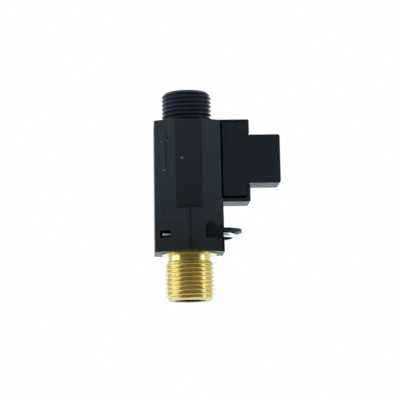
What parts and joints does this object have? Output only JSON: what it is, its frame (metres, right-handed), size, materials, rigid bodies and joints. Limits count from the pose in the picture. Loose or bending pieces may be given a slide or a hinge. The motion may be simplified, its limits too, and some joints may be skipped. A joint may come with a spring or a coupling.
{
  "type": "boiler flow switch",
  "caption": "Inline water flow switch: black moulded body with threaded outlet, clipped-in brass threaded inlet, sprung magnetic piston and a side reed module with a connector shroud.",
  "frame": {"origin": "centre of the inlet end face, on the axis of the flow", "axes": "+Z along the axis of the flow from inlet to outlet, -Y out of the front with the flat panel, +X towards the switch module and its connector"},
  "size_m": [0.0536, 0.0334, 0.0887],
  "materials": {
    "body_plastic": "satin moulded",
    "module_plastic": "satin moulded",
    "brass": "turned",
    "spring_wire": "bright plated",
    "seal_rubber": "matt",
    "inner_plastic": "moulded",
    "strainer_plastic": "moulded",
    "mesh_steel": "woven",
    "magnet": "sintered",
    "board": "laminate",
    "reed_glass": "clear",
    "reed_metal": "plated",
    "tab_metal": "tinned"
  },
  "bodies": {
    "body": {"flow_body": "body_plastic", "valve_seat": "inner_plastic", "seat_o_ring": "seal_rubber", "return_spring": "spring_wire", "guide_rod": "spring_wire", "guide_spider": "inner_plastic"},
    "piston": {"piston": "inner_plastic", "piston_seal": "seal_rubber", "ring_magnet": "magnet", "magnet_cap": "inner_plastic"},
    "inlet": {"inlet_fitting": "brass", "inlet_o_rings": "seal_rubber", "strainer_frame": "strainer_plastic", "strainer_mesh": "mesh_steel"},
    "clip": {"retaining_clip": "spring_wire"},
    "switch": {"switch_housing": "module_plastic", "switch_cover": "module_plastic", "circuit_board": "board", "reed_glass": "reed_glass", "reed_blades": "reed_metal", "terminal_tabs": "tab_metal"}
  },
  "joints": [
    {"name": "piston_lift", "type": "slide", "parent": "body", "child": "piston", "axis": [0, 0, 1], "range_m": [0, 0.008], "stiffness_N_per_m": 60, "springref_m": -0.005, "deforming": ["return_spring"]},
    {"name": "inlet_swivel", "type": "hinge", "parent": "body", "child": "inlet", "pos_m": [0, 0, 0.0272], "axis": [0, 0, 1], "continuous": true},
    {"name": "clip_pull", "type": "slide", "parent": "body", "child": "clip", "axis": [1, 0, 0], "range_m": [0, 0.027]},
    {"name": "switch_pull", "type": "slide", "parent": "body", "child": "switch", "axis": [0, -1, 0], "range_m": [0, 0.0135]}
  ]
}
